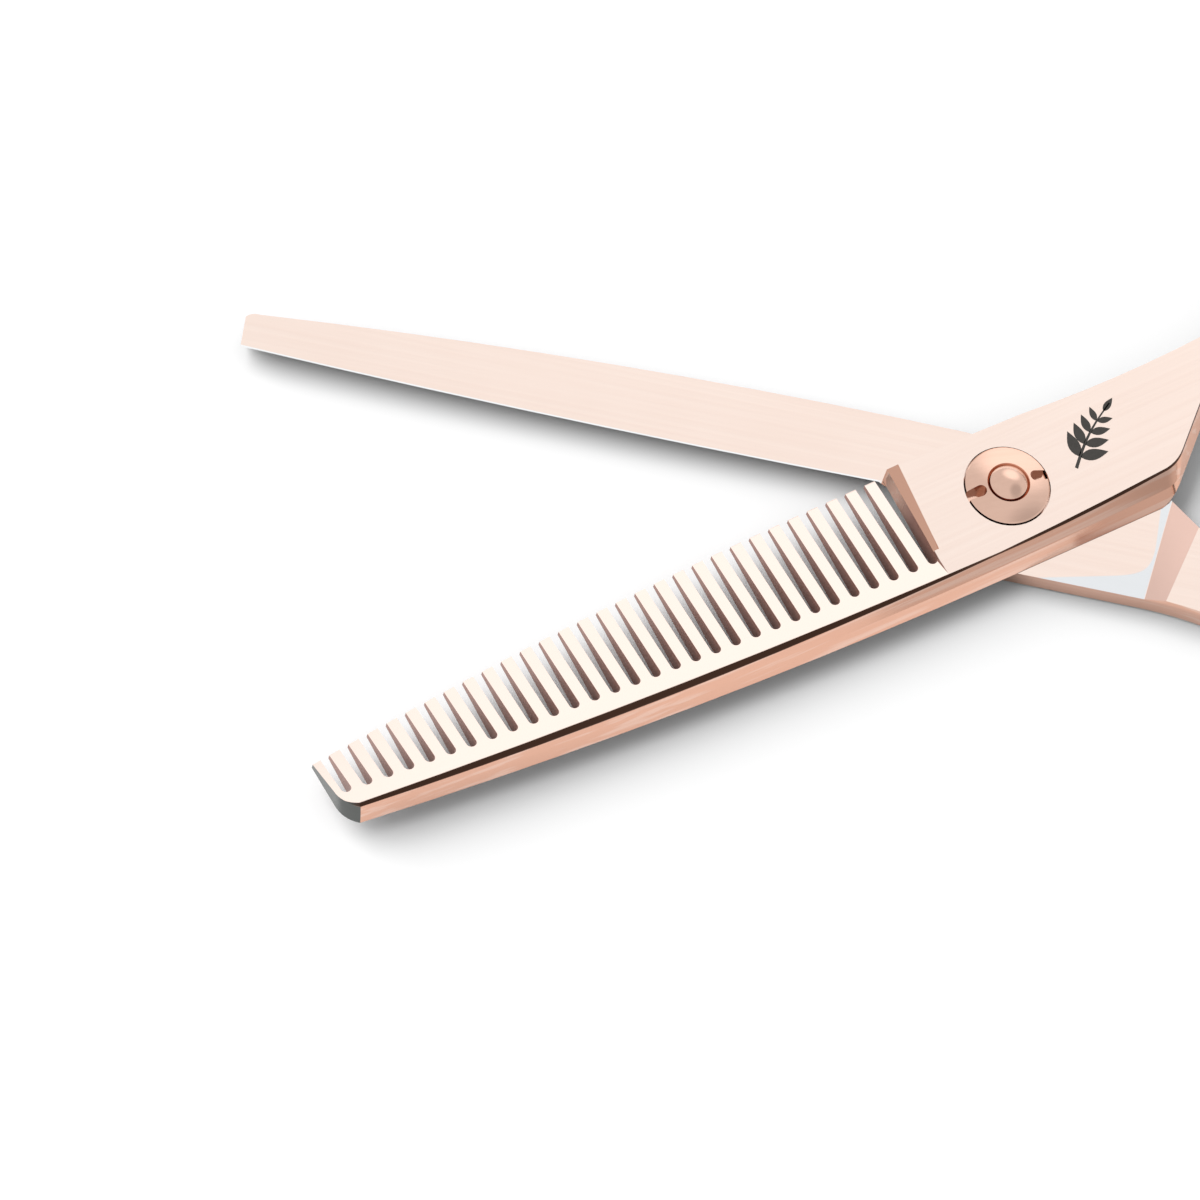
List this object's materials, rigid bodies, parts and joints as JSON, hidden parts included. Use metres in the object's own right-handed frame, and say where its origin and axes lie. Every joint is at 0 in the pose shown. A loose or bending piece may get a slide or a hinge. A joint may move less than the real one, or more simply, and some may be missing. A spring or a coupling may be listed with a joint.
{
  "type": "hair thinning shears",
  "caption": "Hair thinning shears, one comb blade and one plain blade on a keyed tension nut, with offset finger rings, a rubber bumper and a hooked finger rest.",
  "frame": {"origin": "centre of the flat underside of the pivot screw's head, which the shears lie on", "axes": "+Z along the screw towards the nut, blade tips towards -X, ring handles towards +X, X halves the opening between the blades"},
  "size_m": [0.1466, 0.1111, 0.0065],
  "materials": {
    "rose_steel": "mirror polished steel with a rose gold coating",
    "rose_fitting": "polished turned steel with a rose gold coating",
    "bush_metal": "turned bearing bronze",
    "washer_plastic": "smooth white low-friction plastic",
    "spring_steel": "bright spring steel",
    "stud_steel": "plain steel",
    "cushion_rubber": "soft black rubber"
  },
  "bodies": {
    "plain_half": {"plain_blade": "rose_steel", "finger_handle": "rose_steel", "pivot_screw": "rose_fitting", "glide_washer": "washer_plastic", "spring_washer": "spring_steel", "bumper_cushion": "cushion_rubber", "bumper_stud": "stud_steel", "finger_rest_washer": "washer_plastic"},
    "comb_half": {"comb_blade": "rose_steel", "thumb_handle": "rose_steel", "pivot_bush": "bush_metal", "thrust_washer": "washer_plastic"},
    "tension_nut": {"tension_nut": "rose_fitting"},
    "finger_rest": {"finger_rest": "rose_fitting"}
  },
  "joints": [
    {"name": "blade_pivot", "type": "hinge", "parent": "plain_half", "child": "comb_half", "pos_m": [0, 0, 0.0026], "axis": [0, 0, 1], "range_deg": [-37.5, 51.5]},
    {"name": "tension_nut_turn", "type": "hinge", "parent": "plain_half", "child": "tension_nut", "pos_m": [0, 0, 0.005], "axis": [0, 0, 1], "range_deg": [-90, 90]},
    {"name": "finger_rest_turn", "type": "hinge", "parent": "plain_half", "child": "finger_rest", "pos_m": [0.07019, -0.04505, 0.0026], "axis": [0.7744, -0.6327, 0], "range_deg": [0, 180]}
  ]
}
